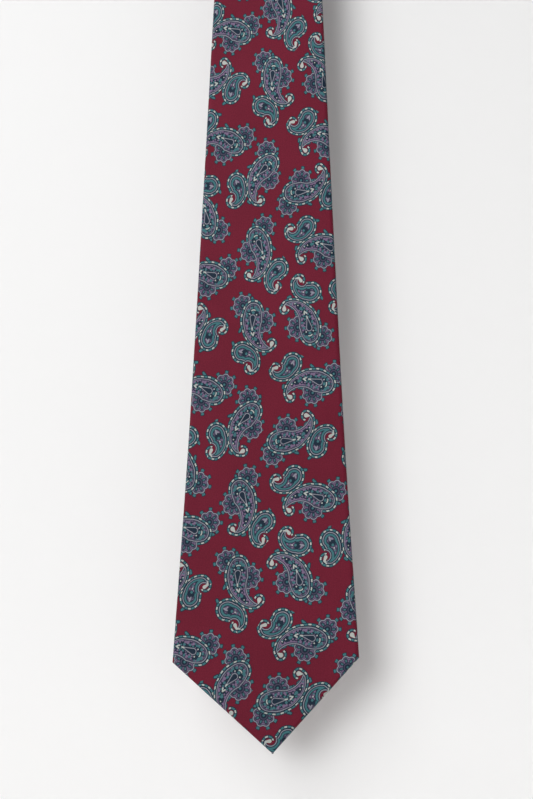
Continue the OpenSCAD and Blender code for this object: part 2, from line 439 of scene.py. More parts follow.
    def curve(self, share: bpy.types.NodeSocket, rows: Sequence[Pair]) -> bpy.types.NodeSocket:
        """Reads a value that changes with the angle.

        Args:
            share: the angle, from 0 to 1.
            rows: (degrees, value), from -180 to 180.

        Returns:
            The value at that angle.
        """
        low = min(value for _, value in rows)
        span = max(value for _, value in rows) - low
        drawn = add(self.tree, "FloatCurve", {1: share})
        line = drawn.node.mapping.curves[0]
        points = [((angle + 180) / 360, (value - low) / span) for angle, value in rows]
        line.points[0].location, line.points[1].location = points[0], points[-1]
        for place in points[1:-1]:
            line.points.new(*place)
        for point in line.points:
            point.handle_type = "AUTO_CLAMPED"
        drawn.node.mapping.update()
        return self.step("Math", "MULTIPLY_ADD", drawn, span, low)

    def flower(self, centre: Pair, radius: float, petals: float, shift: float) -> None:
        """Prints a half flower behind a paisley: scalloped rim, petals and teal buds.

        Args:
            centre: the flower's middle.
            radius: the radius to the rim's valleys.
            petals: the number of petals in a full turn.
            shift: how far the petals are turned, in petals.
        """
        share, far = self.around(centre)
        swing = self.step("Math", "MULTIPLY_ADD", share, petals * math.pi, shift * math.pi)
        wave = self.step("Math", "ABSOLUTE", self.step("Math", "COSINE", swing))
        out = self.step("Math", "SUBTRACT", far, self.step("Math", "MULTIPLY_ADD", wave, 0.75, radius))
        self.lay(Ink.NAVY, self.near(out, 0.85, 1.0), self.above(wave, 0.78))
        self.lay(Ink.TEAL, self.near(out, 0.9, 0.6), self.above(wave, 0.90))
        self.lay(Ink.NAVY, self.below(out, 0.45))
        self.lay(Ink.LILAC, self.near(out, 0.0, 0.22))
        self.lay(Ink.DUSK, self.below(out, -0.25))
        self.lay(Ink.MAUVE, self.near(out, -0.85, 0.2), self.below(wave, 0.75))
        self.lay(Ink.MAUVE, self.near(out, -1.9, 0.7), self.below(wave, 0.22))
        self.lay(Ink.NAVY, self.near(out, -2.0, 0.95), self.above(wave, 0.80))
        self.lay(Ink.TEAL, self.near(out, -2.0, 0.55), self.above(wave, 0.92))
        self.lay(Ink.NAVY, self.below(far, 2.2))
        self.lay(Ink.DUSK, self.near(far, 1.55, 0.25))
        self.lay(Ink.TEAL, self.below(far, 0.5))

    def dashed(self, across: bpy.types.NodeSocket, number: bpy.types.NodeSocket,
               inside: bpy.types.NodeSocket) -> None:
        """Prints a navy border with teal and cream dashes by turns.

        Args:
            across: the distance across the border from its middle.
            number: the number of the dash, even for teal and odd for cream.
            inside: a mask of where the border shows.
        """
        beat = self.step("Math", "COSINE", self.step("Math", "MULTIPLY", number, math.pi))
        self.lay(Ink.NAVY, self.near(across, 0.0, 0.78), inside)
        self.lay(Ink.TEAL, self.near(across, 0.0, 0.4), inside, self.above(beat, 0.20))
        self.lay(Ink.CREAM, self.near(across, 0.0, 0.34), inside, self.below(beat, -0.35))

    def blobs(self, inside: bpy.types.NodeSocket, spacing: float, teal: float) -> None:
        """Prints the fine teal and mauve specks that fill a paisley.

        Args:
            inside: a mask of where they show.
            spacing: mm between specks.
            teal: the share of them that are teal.
        """
        cells = add(
            self.tree, "TexVoronoi", {"Vector": self.here, "Scale": 1 / spacing, "Randomness": 0.8},
            voronoi_dimensions="2D",
        ).node.outputs
        pick = add(self.tree, "SeparateColor", {0: cells["Color"]})
        speck = self.below(cells["Distance"], 0.36)
        self.lay(Ink.TEAL, inside, speck, self.below(pick, teal))
        self.lay(Ink.MAUVE, inside, speck, self.above(pick, teal + 0.18))

    def paisley(self, shape: Paisley, over: bool) -> bpy.types.NodeSocket:
        """Prints a paisley's border and returns the distance from its inner outline.

        Args:
            shape: the paisley.
            over: whether its body covers what was printed before.

        Returns:
            The signed distance from the lilac outline, negative inside.
        """
        share, far = self.around(shape.heart)
        across = self.step("Math", "SUBTRACT", far, self.curve(share, shape.border))
        from_hollow = self.far(shape.hollow)
        open_side = self.above(from_hollow, shape.hollow_r - 0.35)
        if over:
            self.lay(Ink.NAVY, self.below(across, 0.78), open_side)
        self.dashed(across, self.curve(share, shape.dashes()), open_side)
        return self.step("Math", 
            "MAXIMUM", self.step("Math", "ADD", across, 1.2),
            self.step("Math", "SUBTRACT", shape.hollow_r, from_hollow),
        )

    def curl(self, shape: Paisley) -> None:
        """Prints the dashed ring round a paisley's curl."""
        ring = shape.curl
        share, far = self.around(ring.centre)
        toward = self.step("VectorMath", "DOT_PRODUCT", self.here, (*ring.side, 0), out=1)
        start = Vector(ring.centre).dot(Vector(ring.side)) + ring.reach
        self.dashed(
            self.step("Math", "SUBTRACT", far, ring.radius),
            self.step("Math", "MULTIPLY_ADD", share, float(ring.dashes), ring.shift),
            self.above(toward, start),
        )

    def comma(self, shape: Paisley) -> None:
        """Prints the cream comma in a paisley's curl."""
        for part in shape.comma:
            self.lay(Ink.CREAM, self.below(self.drop(part), 0.0))

    def outline(self, edge: bpy.types.NodeSocket) -> bpy.types.NodeSocket:
        """Prints the lilac outline round a paisley's navy inside and returns the inside's mask."""
        self.lay(Ink.NAVY, self.below(edge, 0.45))
        self.lay(Ink.LILAC, self.below(edge, 0.2))
        inside = self.below(edge, -0.2)
        self.lay(Ink.NAVY, inside)
        return inside

    def small_inside(self, edge: bpy.types.NodeSocket) -> None:
        """Prints the teal ring and the mottled core of the small paisley."""
        self.lay(Ink.TEAL, self.near(edge, -1.1, 0.47))
        core = self.below(edge, -2.0)
        self.lay(Ink.DUSK, core)
        self.blobs(core, 1.25, 0.15)
        self.lay(Ink.NAVY, self.below(self.far((-4.5, 8.2)), 1.6))
        self.lay(Ink.TEAL, self.below(self.far((-3.8, 8.6)), 0.6))
        for part in (Drop((-7.4, 7.3), (-6.0, 8.1), 0.4, 0.3),
                     Drop((-5.9, 6.9), (-6.9, 7.7), 0.25, 0.3)):
            self.lay(Ink.LILAC, self.below(self.drop(part), 0.0))

    def big_inside(self, edge: bpy.types.NodeSocket, inside: bpy.types.NodeSocket) -> None:
        """Prints the rim, the specks, the eye and its cream arch in the big paisley."""
        rim = self.near(edge, -0.8, 0.4)
        self.lay(Ink.DUSK, rim, inside)
        self.lay(Ink.MAUVE, self.near(edge, -0.8, 0.23), self.above(self.down, -1.55), inside)
        self.blobs(self.below(edge, -0.6), 1.2, 0.4)
        share, arch = self.around((-1.0, -9.5))
        high = self.below(self.down, -9.6)
        beat = self.step("Math", "COSINE", self.step("Math", "MULTIPLY", share, 20 * math.pi))
        self.lay(Ink.NAVY, high, self.below(arch, 2.7))
        self.lay(Ink.TEAL, high, self.near(arch, 3.1, 0.47), self.above(beat, -0.5))
        for ink, dots in SPECKS:
            for place, radius in dots:
                self.lay(ink, self.below(self.far(place), radius))
        middle = self.near(self.across, -1.1, 1.05)
        self.lay(Ink.CREAM, self.below(self.down, -10.7), middle, self.near(arch, 2.0, 0.26))
        eye = self.drop(EYE)
        self.lay(Ink.NAVY, self.below(eye, 0.5))
        self.lay(Ink.LILAC, self.below(eye, 0.18))
        self.lay(Ink.NAVY, self.below(eye, -0.18))
        for part in (Drop((-1.45, -3.1), (-1.4, -2.2), 0.4, 0.26),
                     Drop((-1.65, -0.8), (-0.75, 0.3), 0.36, 0.26),
                     Drop((-0.4, -0.95), (-0.75, 0.45), 0.36, 0.2)):
            self.lay(Ink.CREAM, self.below(self.drop(part), 0.0))

    def draw(self) -> bpy.types.NodeSocket:
        """Prints the whole motif and returns its colour."""
        self.flower((-6.65, -13.5), 4.1, 8.0, 0.27)
        for bud in BUDS_BELOW:
            shape = self.drop(bud)
            self.lay(Ink.NAVY, self.below(shape, 0.3))
            self.lay(Ink.TEAL, self.below(shape, -0.08))
        edge = self.paisley(SMALL, True)
        self.outline(edge)
        self.small_inside(edge)
        self.curl(SMALL)
        self.comma(SMALL)
        edge = self.paisley(BIG, False)
        self.flower((4.15, -6.0), 4.3, 8.43, 0.49)
        self.curl(BIG)
        self.big_inside(edge, self.outline(edge))
        self.comma(BIG)
        ramp = add(self.tree, "ValToRGB", {0: self.ink})
        bands = ramp.node.color_ramp
        bands.interpolation = "CONSTANT"
        for number, ink in enumerate(Ink):
            place = number / len(Ink)
            band = bands.elements.new(place) if number else bands.elements[0]
            band.position, band.color = place, srgb(ink.value)
        bands.elements.remove(bands.elements[-1])
        return ramp


# ---------------------------------------------------------------- finishes


def new_material(name: str) -> tuple[bpy.types.Material, bpy.types.ShaderNodeBsdfPrincipled]:
    """Starts a material and returns it with its Principled shader."""
    made = bpy.data.materials.new(name)
    made.use_nodes = True
    return made, made.node_tree.nodes["Principled BSDF"]


@dataclass(frozen=True)
class PrintedSilkTwill:
    """Screen-printed silk twill: fine diagonal ribs and a soft sheen."""

    name: str = "printed_silk_twill"
    rib: float = 0.6          # mm between ribs; real ones, 0.25 mm, would not show
    roughness: float = 0.58
    sheen: float = 0.02

    def material(self) -> bpy.types.Material:
        """Builds the material from the cloth's own flat coordinates."""
        made, shader = new_material(self.name)
        tree = made.node_tree
        cloth = add(tree, "UVMap", uv_map="cloth")
        colour = PaisleyPrint(tree, cloth).draw()
        place = add(tree, "TexCoord", out=3)
        # dye takes unevenly over a few centimetres
        cloudy = add(tree, "TexNoise", {"Vector": place, "Scale": 28.0, "Detail": 3.0})
        cloud = add(tree, "MapRange", {0: cloudy, 1: 0.3, 2: 0.7, 3: 0.93, 4: 1.07})
        slub = add(tree, "TexNoise", {"Vector": cloth, "Scale": 1.6, "Detail": 2.0})
        grainy = add(tree, "MapRange", {0: slub, 1: 0.3, 2: 0.7, 3: 0.90, 4: 1.10})
        depth = add(tree, "Math", {0: cloud, 1: grainy}, operation="MULTIPLY")
        dyed = add(tree, "VectorMath", {0: colour, 3: depth}, operation="SCALE")
        tree.links.new(dyed, shader.inputs["Base Color"])
        ribs = add(
            tree, "TexWave",
            {"Vector": cloth, "Scale": math.pi / (7.07 * self.rib), "Distortion": 0.6,
             "Detail": 1.0, "Detail Scale": 2.0},
            out=1, wave_type="BANDS", bands_direction="DIAGONAL",
        )
        relief = add(tree, "Math", {0: ribs, 1: 0.6, 2: slub}, operation="MULTIPLY_ADD")
        bump = add(tree, "Bump", {"Strength": 0.5, "Distance": 0.0001, "Height": relief})
        tree.links.new(bump, shader.inputs["Normal"])
        shader.inputs["Roughness"].default_value = self.roughness
        shader.inputs["IOR"].default_value = 1.45
        shader.inputs["Specular IOR Level"].default_value = 0.08
        shader.inputs["Sheen Weight"].default_value = self.sheen
        shader.inputs["Sheen Roughness"].default_value = 0.35
        shader.inputs["Sheen Tint"].default_value = srgb("#D9B6C4")
        return made


@dataclass(frozen=True)
class PlainWeave:
    """A plain or satin woven cloth in one colour, seen close to.

    The weave is two crossed sets of threads on the piece's own flat coordinates.
    """

    name: str
    colour: str
    # the colour painted as shade in the hollows between the threads
    shade: str
    thread: float             # mm between threads
    roughness: float
    sheen: float
    depth: float              # mm of relief

    def material(self) -> bpy.types.Material:
        """Builds the material."""
        made, shader = new_material(self.name)
        tree = made.node_tree
        cloth = add(tree, "UVMap", uv_map="cloth")
        scale = math.pi / (10 * self.thread)
        warp = add(tree, "TexWave", {"Vector": cloth, "Scale": scale, "Distortion": 0.4},
                   out=1, bands_direction="X")
        weft = add(tree, "TexWave", {"Vector": cloth, "Scale": scale * 0.8, "Distortion": 0.4},
                   out=1, bands_direction="Y")
        weave = add(tree, "Math", {0: warp, 1: weft}, operation="MULTIPLY")
        patchy = add(tree, "TexNoise", {"Vector": cloth, "Scale": 0.12, "Detail": 4.0})
        # painted shade: the colour falls to the shade colour in the hollows between the threads, and
        # the patchy noise adds random tone
        gap_shade_and_patches = add(tree, "Math", {0: weave, 1: 0.45, 2: patchy}, operation="MULTIPLY_ADD")
        tint = add(tree, "MapRange", {0: gap_shade_and_patches, 1: 0.3, 2: 1.1, 3: 0.0, 4: 1.0})
        colour = add(
            tree, "Mix", {0: tint, 6: srgb(self.shade), 7: srgb(self.colour)}, 2,
            data_type="RGBA",
        )
        tree.links.new(colour, shader.inputs["Base Color"])
        bump = add(tree, "Bump",
                   {"Strength": 0.5, "Distance": self.depth * MM, "Height": weave})
        tree.links.new(bump, shader.inputs["Normal"])
        shader.inputs["Roughness"].default_value = self.roughness
        shader.inputs["Sheen Weight"].default_value = self.sheen
        shader.inputs["Sheen Roughness"].default_value = 0.4
        return made


@dataclass(frozen=True)
class TwistedThread:
    """Two-ply silk sewing thread: the plies show as slanting ribs with a low shine."""

    name: str = "twisted_silk_thread"
    colour: str = "#7A3040"
    # the colour painted as shade in the grooves between the plies
    shade: str = "#4A1724"

    def material(self) -> bpy.types.Material:
        """Builds the material."""
        made, shader = new_material(self.name)
        tree = made.node_tree
        place = add(tree, "TexCoord", out=3)
        ply = add(tree, "TexWave", {"Vector": place, "Scale": 900.0, "Distortion": 0.5},
                  out=1, bands_direction="DIAGONAL")
        # painted shade: the colour falls to the shade colour in the grooves between the plies, where
        # the same wave sinks the bump
        colour = add(
            tree, "Mix", {0: ply, 6: srgb(self.shade), 7: srgb(self.colour)}, 2,
            data_type="RGBA",
        )
        tree.links.new(colour, shader.inputs["Base Color"])
        bump = add(tree, "Bump", {"Strength": 0.6, "Distance": 0.0001, "Height": ply})
        tree.links.new(bump, shader.inputs["Normal"])
        shader.inputs["Roughness"].default_value = 0.45
        shader.inputs["Sheen Weight"].default_value = 0.2
        return made


TIPPING_LINING = PlainWeave("acetate_satin_lining", "#5A1E2C", "#3E1420", 0.7, 0.38, 0.15, 0.08)
WOOL = PlainWeave("brushed_wool_interlining", "#E6DFC8", "#C8BFA4", 1.4, 0.92, 0.5, 0.25)
LABEL_SATIN = PlainWeave("woven_label_satin", "#E9E4D6", "#CFC8B6", 0.6, 0.42, 0.25, 0.06)


# ---------------------------------------------------------------- cloth


@dataclass
class Lie:
    """How the tie lies over the rail: up the front, round the rail and down the back."""

    middle: float             # mm from the rail's axis to the tie's middle layer
    front_drop: float         # mm from the rail's axis down to the front point

    @property
    def arch(self) -> float:
        """The length of the fold round the rail."""
        return math.pi * self.middle

    def askew(self, t: float, x: float) -> float:
        """Returns how far the front point, cut a little askew, lifts a place x across it."""
        return 0.027 * x * (1 - smooth(t, 60.0, 200.0))

    def place(self, t: float, x: float, n: float) -> Vector:
        """Returns the point at t along the tie, x across it and n above its middle, in metres."""
        up = t + self.askew(t, x) - self.front_drop
        out = self.middle + n
        if up <= 0:
            spot = Vector((x, -out, up))
        elif up < self.arch:
            turn = up / self.middle
            spot = Vector((x, -out * math.cos(turn), out * math.sin(turn)))
        else:
            spot = Vector((x, out, self.arch - up))
        return spot * MM


@dataclass
class Grid:
    """A cloth surface as rows of points, each with its place on the flat cloth."""

    rows: list[list[Vector]]
    flat: list[list[Pair]]
    ring: bool = False        # whether each row closes on itself

    def mesh(self, name: str) -> bpy.types.Object:
        """Builds the surface as one object with its cloth coordinates."""
        across = len(self.rows[0])
        points = [p for row in self.rows for p in row]
        flat = [p for row in self.flat for p in row]
        last = across if self.ring else across - 1
        faces = [
            (
                j * across + i, j * across + (i + 1) % across,
                (j + 1) * across + (i + 1) % across, (j + 1) * across + i,
            )
            for j in range(len(self.rows) - 1)
            for i in range(last)
        ]
        if self.ring:
            faces.append(tuple(reversed(range(across))))
            faces.append(tuple(range((len(self.rows) - 1) * across, len(points))))
        made = bpy.data.meshes.new(name)
        made.from_pydata(points, [], faces)
        layer = made.uv_layers.new(name="cloth")
        for loop in made.loops:
            layer.data[loop.index].uv = flat[loop.vertex_index]
        obj = bpy.data.objects.new(name, made)
        bpy.context.scene.collection.objects.link(obj)
        return obj


def weld(obj: bpy.types.Object, distance: float = 0.02) -> None:
    """Merges points closer than distance, in mm."""
    work = bmesh.new()
    work.from_mesh(obj.data)
    bmesh.ops.remove_doubles(work, verts=work.verts, dist=distance * MM)
    work.to_mesh(obj.data)
    work.free()


def thicken(obj: bpy.types.Object, thickness: float) -> None:
    """Gives a sheet its thickness on the inner side and smooths its shading."""
    select_only(obj)
    wall = obj.modifiers.new("thickness", "SOLIDIFY")
    wall.thickness, wall.offset = thickness * MM, -1.0
    wall.use_even_offset = False
    bpy.ops.object.modifier_apply(modifier=wall.name)
    bpy.ops.object.shade_smooth_by_angle(angle=math.radians(50))


def select_only(obj: bpy.types.Object) -> None:
    """Selects one object and nothing else."""
    bpy.ops.object.select_all(action="DESELECT")
    obj.select_set(True)
    bpy.context.view_layer.objects.active = obj


def surface_area(grid: Grid) -> float:
    """Returns the area that a sheet's flat cut has, in square metres, from its flat places."""
    total = 0.0
    for low, high in zip(grid.flat, grid.flat[1:]):
        for i in range(len(low) - 1):
            a, b, c, d = low[i], low[i + 1], high[i + 1], high[i]
            total += abs((c[0] - a[0]) * (d[1] - b[1]) - (d[0] - b[0]) * (c[1] - a[1])) / 2
    return total * MM * MM


@dataclass(frozen=True)
class Drape:
    """How pressing and hanging have pulled the front's bias-cut cloth out of square."""

    stretch: float = 1.131    # its length against the length it was cut
    lean: float = 0.038       # how far the print walks sideways down the blade
    start: Pair = (6.0, 205.0)           # where the middle of one motif lies, in mm
    # mm that the print is off its place 100 mm down, down and across, and across
    sideways: tuple = (1.3, 4.0, 0.5)
    lengthways: tuple = (1.2, 3.3, 2.8)
    limit: Pair = (83.0, 218.0)          # mm across and down past which the pull stays even

    def place(self, x: float, up: float) -> Pair:
        """Returns where on the flat print a point of the blade was cut from.

        Args:
            x: mm across the front layer from the middle, round the edges as well.
            up: mm above the point.

        Returns:
            The place on the print, in mm, y down the blade.
        """
        down = (self.start[1] - up) / self.stretch
        across = x + self.start[0] + self.lean * down
        a = max(-self.limit[0], min(self.limit[0], across)) / 100
        b = max(-self.limit[1], min(self.limit[1], down)) / 100
        shares = (b * b, a * b, a * a)
        return (
            across - sum(pull * share for pull, share in zip(self.sideways, shares)),
            down + sum(pull * share for pull, share in zip(self.lengthways, shares)),
        )


DRAPE = Drape()


@dataclass
class FoldedSilk:
    """A silk panel folded round the interlining: front layer, rolled edges and back flaps."""

    name: str
    start: float              # t at its lower or first end
    end: float
    half: Callable[[float], float]              # half width at t
    middle: Callable[[float], float]            # sideways shift of the middle line at t
    window: Callable[[float], float]            # half width of the opening between the flaps
    stations: list[float]     # t of every row
    slant_start: float        # slope of the first end's seam
    slant_end: float
    cut_shift: Pair           # where on the cloth the panel was cut, in mm
    lie: Lie
    thickness: float = 4.0
    silk: float = 0.45
    front_columns: int = 22
    roll_columns: int = 7
    flap_columns: int = 12

    def section(self, half: float, window: float, squeeze: float) -> list[tuple]:
        """Returns the right half of a cross-section as (x, n, length along the cloth).

        Args:
            half: the half width.
            window: half of the opening between the flaps.
            squeeze: the share of the full thickness.
        """
        top = self.thickness / 2 * squeeze
        roll = min(1.9, half * 0.45)
        points = []
        for i in range(self.front_columns + 1):
            x = (half - roll) * math.sin(math.pi / 2 * i / self.front_columns)
            crown = 0.18 * squeeze * (1 - (x / max(half, 1e-6)) ** 2)
            points.append((x, top - 0.15 * squeeze + crown))
        for i in range(1, self.roll_columns + 1):
            turn = math.pi * i / self.roll_columns
            points.append((half - roll + roll * math.sin(turn), (top - 0.15 * squeeze)
                           * math.cos(turn)))
        inner = min(window, half - roll)
        for i in range(1, self.flap_columns + 1):
            f = i / self.flap_columns
            x = half - roll + (inner - half + roll) * f
            points.append((x, -(top - 0.15 * squeeze) - 0.10 * squeeze * math.sin(math.pi * f)))
        # the raw edge is turned in under the flap
        points.append((inner + 0.10, -(top - 0.15 * squeeze) + 0.35 * squeeze))
        length, run = [0.0], 0.0
        for (x0, n0), (x1, n1) in zip(points, points[1:]):
            run += math.hypot(x1 - x0, n1 - n0)
            length.append(run)
        return [(x, n, s) for (x, n), s in zip(points, length)]

    def ripple(self, t: float, x: float) -> float:
        """Returns how far the hanging cloth stands off its flat plane."""
        return (
            0.28 * math.sin(t / 61.0 + x / 37.0 + 0.8)
            + 0.20 * math.sin(t / 23.0 - x / 19.0)
            + 0.14 * math.sin(t / 131.0)
        )

    def grid(self) -> Grid:
        """Builds the surface row by row."""
        rows, flat = [], []
        calm = 30.0
        for t in self.stations:
            half, middle = self.half(t), self.middle(t)
            ends = min(t - self.start, self.end - t)
            seam = 1 - 0.30 * math.exp(-((ends / 1.6) ** 2)) if self.slanted(t) else 1.0
            point = 0.25 + 0.75 * smooth(half, 0.0, 9.0)
            right = self.section(half, self.window(t), seam * point)
            whole = [(-x, n, -s) for x, n, s in reversed(right[1:])] + right
            row, places = [], []
            slope = self.slant_start * (1 - smooth(t, self.start, self.start + 70)) + (
                self.slant_end * smooth(t, self.end - 70, self.end)
            )
            for x, n, s in whole:
                along = t + slope * x
                lift = self.ripple(t, x) * min(1.0, half / 14)
                lift *= smooth(ends, 0.0, calm) if self.slanted(t) else 1.0
                row.append(self.lie.place(along, x + middle, n + lift * 0.5))
                places.append(
                    self.cloth(s + middle, along + self.lie.askew(along, x + middle))
                )
            rows.append(row)
            flat.append(places)
        return Grid(rows, flat)

    def slanted(self, t: float) -> bool:
        """Returns whether the end nearest to t is a seam."""
        near_start = t - self.start < self.end - t
        return (self.slant_start if near_start else self.slant_end) != 0

    def cloth(self, s: float, along: float) -> Pair:
        """Returns the place on the print of a point s across the cloth and along the tie."""
        x, y = DRAPE.place(s, along)
        return x + self.cut_shift[0], y + self.cut_shift[1]

    def build(self) -> tuple[bpy.types.Object, float]:
        """Builds the panel and returns it with the flat area of its cut in square metres."""
        grid = self.grid()
        obj = grid.mesh(self.name)
        weld(obj)
        thicken(obj, self.silk)
        return obj, surface_area(grid)


@dataclass
class FlatLayer:
    """A cloth layer inside the tie, as a slab with rounded edges."""

    name: str
    stations: list[float]
    half: Callable[[float], float]
    middle: Callable[[float], float]
    low: float                # n of its inner side
    high: float
    lie: Lie
    puff: float = 0.0         # mm that its middle swells towards the seam side
    columns: int = 16

    def grid(self) -> Grid:
        """Builds rows that close round the slab."""
        rows, flat = [], []
        thick = (self.high - self.low) / 2
        centre = (self.high + self.low) / 2
        for t in self.stations:
            half, middle = max(0.3, self.half(t)), self.middle(t)
            edge = min(thick, half * 0.5)
            row, places = [], []
            for side in (1, -1):
                for i in range(self.columns + 1):
                    f = -1 + 2 * i / self.columns
                    x = side * f * (half - edge)
                    bulge = -self.puff * (1 - f * f) * smooth(half, 2, 16)
                    row.append(self.lie.place(t, x + middle, centre + side * thick + bulge))
                    places.append((x + middle, t))
                x = side * half
                row.append(self.lie.place(t, x + middle, centre))
                places.append((x + middle, t))
            rows.append(row)
            flat.append(places)
        return Grid(rows, flat, ring=True)

    def build(self) -> tuple[bpy.types.Object, float]:
        """Builds the layer and returns it with its flat area in square metres."""
        obj = self.grid().mesh(self.name)
        select_only(obj)
        bpy.ops.object.shade_smooth_by_angle(angle=math.radians(50))
        area = sum(
            (b - a) * (self.half(a) + self.half(b)) for a, b in zip(self.stations, self.stations[1:])
        )
        return obj, area * MM * MM


def spread(start: float, end: float, pitch: float) -> list[float]:
    """Returns even steps from start to end, both included, about pitch apart."""
    count = max(1, round((end - start) / pitch))
    return [start + (end - start) * i / count for i in range(count + 1)]


# ---------------------------------------------------------------- thread


@dataclass
class StitchSet:
    """Many short stitches of one thread, each modelled as a small arched bead of thread."""

    name: str
    radius: float = 0.22      # mm
    places: tuple = ()

    def bead(self) -> bpy.types.Object:
        """Models one stitch, a millimetre long, lying along X and arched towards +Z."""
        bpy.ops.object.select_all(action="DESELECT")
        bpy.ops.mesh.primitive_cylinder_add(
            vertices=8, radius=0.5, depth=1.0, rotation=(0, math.pi / 2, 0), end_fill_type="NGON"
        )
        obj = bpy.context.active_object
        bpy.ops.object.transform_apply(location=True, rotation=True, scale=True)
        bpy.ops.object.mode_set(mode="EDIT")
        bpy.ops.mesh.select_all(action="SELECT")
        bpy.ops.mesh.bisect(plane_co=(0.25, 0, 0), plane_no=(1, 0, 0))
        bpy.ops.mesh.select_all(action="SELECT")
        bpy.ops.mesh.bisect(plane_co=(-0.25, 0, 0), plane_no=(1, 0, 0))
        bpy.ops.mesh.select_all(action="SELECT")
        bpy.ops.mesh.bisect(plane_co=(0, 0, 0), plane_no=(1, 0, 0))
        bpy.ops.object.mode_set(mode="OBJECT")
        for vertex in obj.data.vertices:
            reach = abs(vertex.co.x) / 0.5
            vertex.select = reach > 0.9
        bpy.ops.object.mode_set(mode="EDIT")
        bpy.ops.transform.resize(value=(1, 0.45, 0.45))
        bpy.ops.transform.translate(value=(0, 0, -0.42))
        bpy.ops.object.mode_set(mode="OBJECT")
        return obj

    def build(self) -> bpy.types.Object:
        """Copies the bead to every place and joins the copies.

        Each place is (start, end, outward), points and a direction in metres.
        """
        bead = self.bead()
        copies = []
        for start, end, outward in self.places:
            along = end - start
            length = along.length
            x_axis = along.normalized()
            z_axis = (outward - x_axis * outward.dot(x_axis)).normalized()
            y_axis = z_axis.cross(x_axis)
            turn = Matrix((x_axis, y_axis, z_axis)).transposed().to_4x4()
            size = Matrix.Diagonal((length, self.radius * 2 * MM, self.radius * 2 * MM, 1))
            copy = bead.copy()
            copy.data = bead.data.copy()
            copy.data.transform(Matrix.Translation((start + end) / 2) @ turn @ size)
            bpy.context.scene.collection.objects.link(copy)
            copies.append(copy)
        bpy.data.objects.remove(bead)
        bpy.ops.object.select_all(action="DESELECT")
        for copy in copies:
            copy.matrix_world = Matrix.Identity(4)
            copy.select_set(True)
        bpy.context.view_layer.objects.active = copies[0]
        bpy.ops.object.join()
        joined = bpy.context.active_object
        joined.name = joined.data.name = self.name
        bpy.ops.object.shade_smooth_by_angle(angle=math.radians(60))
        return joined


@dataclass(frozen=True)
class Sewing:
    """How the tie is sewn, in mm."""

    back: float = -2.05       # n of a thread that lies on the back flaps
    hem_back: float = -1.62   # n of a thread on the edge of a tipping
    pitch: float = 8.0        # between two slip stitches
    slip_reach: float = 1.6   # half a slip stitch along the tie
    slip_lean: float = 0.75   # half a slip stitch across the seam
    seam_rest: float = 14.0   # plain seam beside a gore seam or the rail
    tack_pitch: float = 0.48  # between two threads of a bar tack
    tack_lean: float = 0.35
    hem_pitch: float = 3.4    # half the width that one hem stitch takes
    hem_share: float = 0.22   # half the share of its space that a hem stitch covers
    hem_low: float = 8.0      # height of the lowest hem stitch
    hem_in: float = 5.2       # from the folded edge to the hem


SEWING = Sewing()


# ---------------------------------------------------------------- tie


@dataclass
class Blade:
    """The sizes of one blade, by height above its point."""

    length: float
    width: float
    tip_height: float
    tip_shift: float
    seam_half: float
    rows: tuple[Pair, ...]    # (height, half width) from the corners to the gore seam
    window_top: float
    bend: float               # mm below the gore seam over which the rows are set closer together
    border: float = 3.0       # mm of silk left round the tipping

    def half(self, h: float) -> float:
        """Returns the half width at height h."""
        if h < self.tip_height:
            return self.width / 2 * max(h, 0.02) / self.tip_height
        return eased(self.rows, h)

    def middle(self, h: float) -> float:
        """Returns the sideways place of the middle at height h."""
        return self.tip_shift * (1 - min(1.0, h / self.tip_height))

    def window(self, h: float) -> float:
        """Returns half of the opening between the back flaps at height h."""
        low = self.border * 1.41
        corner = self.width / 2 - self.border
        if h < low:
            return 0.05
        if h < self.tip_height:
            return corner * (h - low) / (self.tip_height - low)
        if h < self.window_top:
            return 0.05 + corner * (self.window_top - h) / (self.window_top - self.tip_height)
        return 0.05

    def heights(self, fine: float, coarse: float) -> list[float]:
        """Returns the heights of the rows, closer together near the point and in the bend."""
        point = [0.0, 0.5, 1.2, 2.2, 3.4]
        rise = spread(4.6, self.tip_height, fine)
        flaps = spread(self.tip_height, self.window_top + 4, fine * 1.4)[1:]
        bend = self.length - self.bend
        straight = spread(self.window_top + 4, bend, coarse)[1:]
        return point + rise + flaps + straight + spread(bend, self.length, 2.0)[1:]


